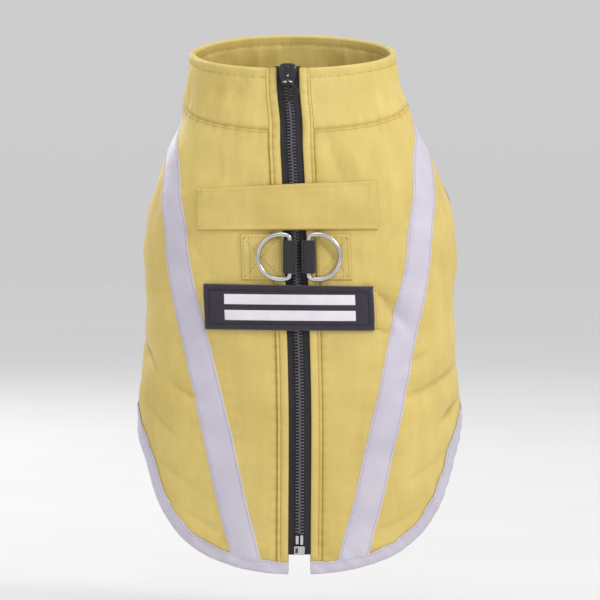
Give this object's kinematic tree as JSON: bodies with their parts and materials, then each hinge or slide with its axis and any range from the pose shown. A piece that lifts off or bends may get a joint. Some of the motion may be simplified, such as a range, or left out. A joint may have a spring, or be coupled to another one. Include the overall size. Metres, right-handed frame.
{
  "type": "dog fleece jacket",
  "caption": "Sleeveless fleece-lined dog jacket with a stand collar, a zip down the back, leash rings, a strap handle and reflective trim, filled out and empty.",
  "frame": {"origin": "middle of the ring where the collar meets the body", "axes": "+Z along the body towards the neck, -Y out through the zip and the back, +Y out through the chest, +X to the right as seen from the zip"},
  "size_m": [0.285, 0.1539, 0.4675],
  "materials": {
    "yellow_nylon": "matt woven shell",
    "charcoal_fleece": "brushed fleece",
    "reflective_tape": "pale reflective tape",
    "reflective_binding": "pale ribbed binding",
    "black_zip": "black zip",
    "black_webbing": "black webbing",
    "black_badge": "black hook-and-loop badge",
    "steel": "plated steel"
  },
  "bodies": {
    "jacket": {"armhole_binding_left": "reflective_binding", "armhole_binding_right": "reflective_binding", "back_panel_left": "yellow_nylon", "back_panel_right": "yellow_nylon", "chest_loop": "black_webbing", "chest_panel": "yellow_nylon", "chest_triangle": "reflective_tape", "collar": "yellow_nylon", "handle_strap": "yellow_nylon", "hem_binding": "reflective_binding", "lining_chest": "charcoal_fleece", "lining_left": "charcoal_fleece", "lining_right": "charcoal_fleece", "patch": "black_badge", "patch_strap": "yellow_nylon", "reflective_strip_left": "reflective_tape", "reflective_strip_right": "reflective_tape", "ring_loop_left": "black_webbing", "ring_loop_right": "black_webbing", "ring_tab_left": "yellow_nylon", "ring_tab_right": "yellow_nylon", "zip_chain": "black_zip", "zip_end_box": "steel", "zip_guard": "yellow_nylon", "zip_slider": "black_zip", "zip_tape_left": "black_zip", "zip_tape_right": "black_zip", "zip_welt_left": "yellow_nylon", "zip_welt_right": "yellow_nylon"},
    "ring_left": {"d_ring_left": "steel"},
    "ring_right": {"d_ring_right": "steel"},
    "ring_chest": {"chest_ring": "steel"},
    "pull": {"zip_pull": "black_zip"}
  },
  "joints": [
    {"name": "ring_left_swing", "type": "hinge", "parent": "jacket", "child": "ring_left", "pos_m": [-0.00869, -0.07184, -0.1332], "axis": [0, 0, 1], "range_deg": [0, 90]},
    {"name": "ring_right_swing", "type": "hinge", "parent": "jacket", "child": "ring_right", "pos_m": [0.0073, -0.07189, -0.1332], "axis": [0, 0, -1], "range_deg": [0, 90]},
    {"name": "chest_ring_swing", "type": "hinge", "parent": "jacket", "child": "ring_chest", "pos_m": [-0.00335, 0.07154, -0.035], "axis": [1, 0, 0], "range_deg": [0, 140]},
    {"name": "pull_swing", "type": "hinge", "parent": "jacket", "child": "pull", "pos_m": [-0.01055, -0.05837, 0.01681], "axis": [-1, 0, 0], "range_deg": [0, 160]}
  ]
}
